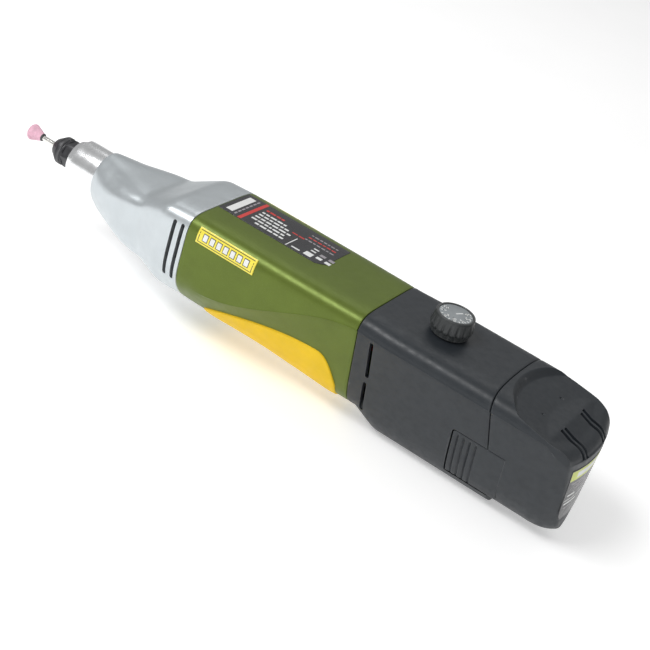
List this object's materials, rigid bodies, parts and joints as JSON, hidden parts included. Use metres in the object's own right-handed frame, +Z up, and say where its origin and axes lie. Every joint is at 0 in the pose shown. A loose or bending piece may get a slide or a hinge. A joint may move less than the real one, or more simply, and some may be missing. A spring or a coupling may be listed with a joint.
{
  "type": "cordless die grinder",
  "caption": "Battery die grinder with a metal head, clamping collar, collet with a small grinding stone, squared green and dark body, top speed dial and slide-off battery.",
  "frame": {"origin": "on the spindle axis, at the middle of the clamping collar's length", "axes": "X along the tool with the bit at -X and the battery at +X, +Z up through the speed dial, +Y to the right of a user who looks towards the bit"},
  "size_m": [0.2813, 0.0482, 0.064],
  "materials": {
    "collar_steel": "machined bright",
    "head_metal": "satin cast and bead blasted",
    "green_shell": "satin metallic olive green",
    "dark_shell": "fine grained anthracite",
    "grip_rubber": "soft satin yellow",
    "plate_yellow": "printed foil",
    "label_black": "printed foil",
    "screw_steel": "zinc plated",
    "bearing_steel": "ground",
    "ball_steel": "polished",
    "motor_steel": "galvanised",
    "black_steel": "black oxide",
    "black_plastic": "moulded",
    "spindle_steel": "ground",
    "collet_steel": "hardened",
    "shank_steel": "ground bright",
    "stone_pink": "open abrasive grain",
    "magnet_grey": "pressed ferrite or carbon",
    "contact_brass": "stamped",
    "winding_copper": "enamelled copper",
    "board_green": "solder mask",
    "pot_blue": "moulded",
    "dial_black": "moulded",
    "dial_grey": "printed",
    "lead_red": "wire insulation",
    "cell_blue": "heat shrink sleeve",
    "link_nickel": "nickel strip"
  },
  "bodies": {
    "housing": {"clamp_collar": "collar_steel", "head_casting": "head_metal", "motor_housing": "green_shell", "rear_housing": "dark_shell", "grip_pad_left": "grip_rubber", "grip_pad_right": "grip_rubber", "name_plate_left": "plate_yellow", "name_plate_right": "plate_yellow", "rating_label": "label_black", "head_screws": "screw_steel", "housing_screws": "screw_steel", "front_bearing_outer": "bearing_steel", "rear_bearing_outer": "bearing_steel", "bearing_spacer": "motor_steel", "retaining_ring": "black_steel", "motor_plate": "motor_steel", "motor_can": "motor_steel", "magnets": "magnet_grey", "end_bell": "black_plastic", "brush_holders": "contact_brass", "brushes": "magnet_grey", "control_board": "board_green", "speed_pot": "pot_blue", "motor_leads": "lead_red", "contact_block": "black_plastic", "contact_blades": "contact_brass"},
    "rotor": {"spindle": "spindle_steel", "coupling": "black_plastic", "front_bearing_inner": "bearing_steel", "rear_bearing_inner": "bearing_steel", "dust_washer": "black_plastic", "motor_shaft": "shank_steel", "rotor_core": "motor_steel", "windings": "winding_copper", "commutator": "winding_copper", "fan": "black_plastic"},
    "ball_rings": {"front_bearing_balls": "ball_steel", "rear_bearing_balls": "ball_steel"},
    "collet": {"collet": "collet_steel"},
    "nut": {"collet_nut": "black_steel"},
    "bit": {"bit_shank": "shank_steel", "grinding_stone": "stone_pink"},
    "dial": {"dial_knob": "dial_black", "dial_disc": "dial_grey", "pot_shaft": "shank_steel"},
    "battery": {"battery_casing": "dark_shell", "battery_sleeve": "black_plastic", "battery_cells": "cell_blue", "cell_links": "link_nickel", "battery_terminals": "link_nickel", "battery_board": "board_green", "battery_label": "label_black"},
    "latch_left": {"latch_left": "dark_shell"},
    "latch_right": {"latch_right": "dark_shell"}
  },
  "joints": [
    {"name": "spindle_spin", "type": "hinge", "parent": "housing", "child": "rotor", "pos_m": [0, 0, 0], "axis": [1, 0, 0], "continuous": true},
    {"name": "ball_ring_spin", "type": "hinge", "parent": "housing", "child": "ball_rings", "pos_m": [0, 0, 0], "axis": [1, 0, 0], "continuous": true},
    {"name": "collet_release", "type": "slide", "parent": "rotor", "child": "collet", "axis": [-1, 0, 0], "range_m": [0, 0.0015]},
    {"name": "nut_turn", "type": "hinge", "parent": "collet", "child": "nut", "pos_m": [0, 0, 0], "axis": [-1, 0, 0], "range_deg": [0, 720]},
    {"name": "bit_pull", "type": "slide", "parent": "collet", "child": "bit", "axis": [-1, 0, 0], "range_m": [0, 0.03]},
    {"name": "dial_turn", "type": "hinge", "parent": "housing", "child": "dial", "pos_m": [0.1748, 0, 0.0188], "axis": [0, 0, 1], "range_deg": [-280, 0]},
    {"name": "battery_pull", "type": "slide", "parent": "housing", "child": "battery", "axis": [1, 0, 0], "range_m": [0, 0.06]},
    {"name": "latch_left_press", "type": "hinge", "parent": "battery", "child": "latch_left", "pos_m": [0.2192, -0.0165, -0.016], "axis": [0, 0, -1], "range_deg": [0, 2.5], "stiffness_Nm_per_rad": 0.3},
    {"name": "latch_right_press", "type": "hinge", "parent": "battery", "child": "latch_right", "pos_m": [0.2192, 0.0165, -0.016], "axis": [0, 0, 1], "range_deg": [0, 2.5], "stiffness_Nm_per_rad": 0.3}
  ],
  "couplings": [
    {"joint": "nut_turn", "follows": "collet_release", "rad_per_m": 8377.5},
    {"joint": "ball_ring_spin", "follows": "spindle_spin", "ratio": 0.4}
  ]
}
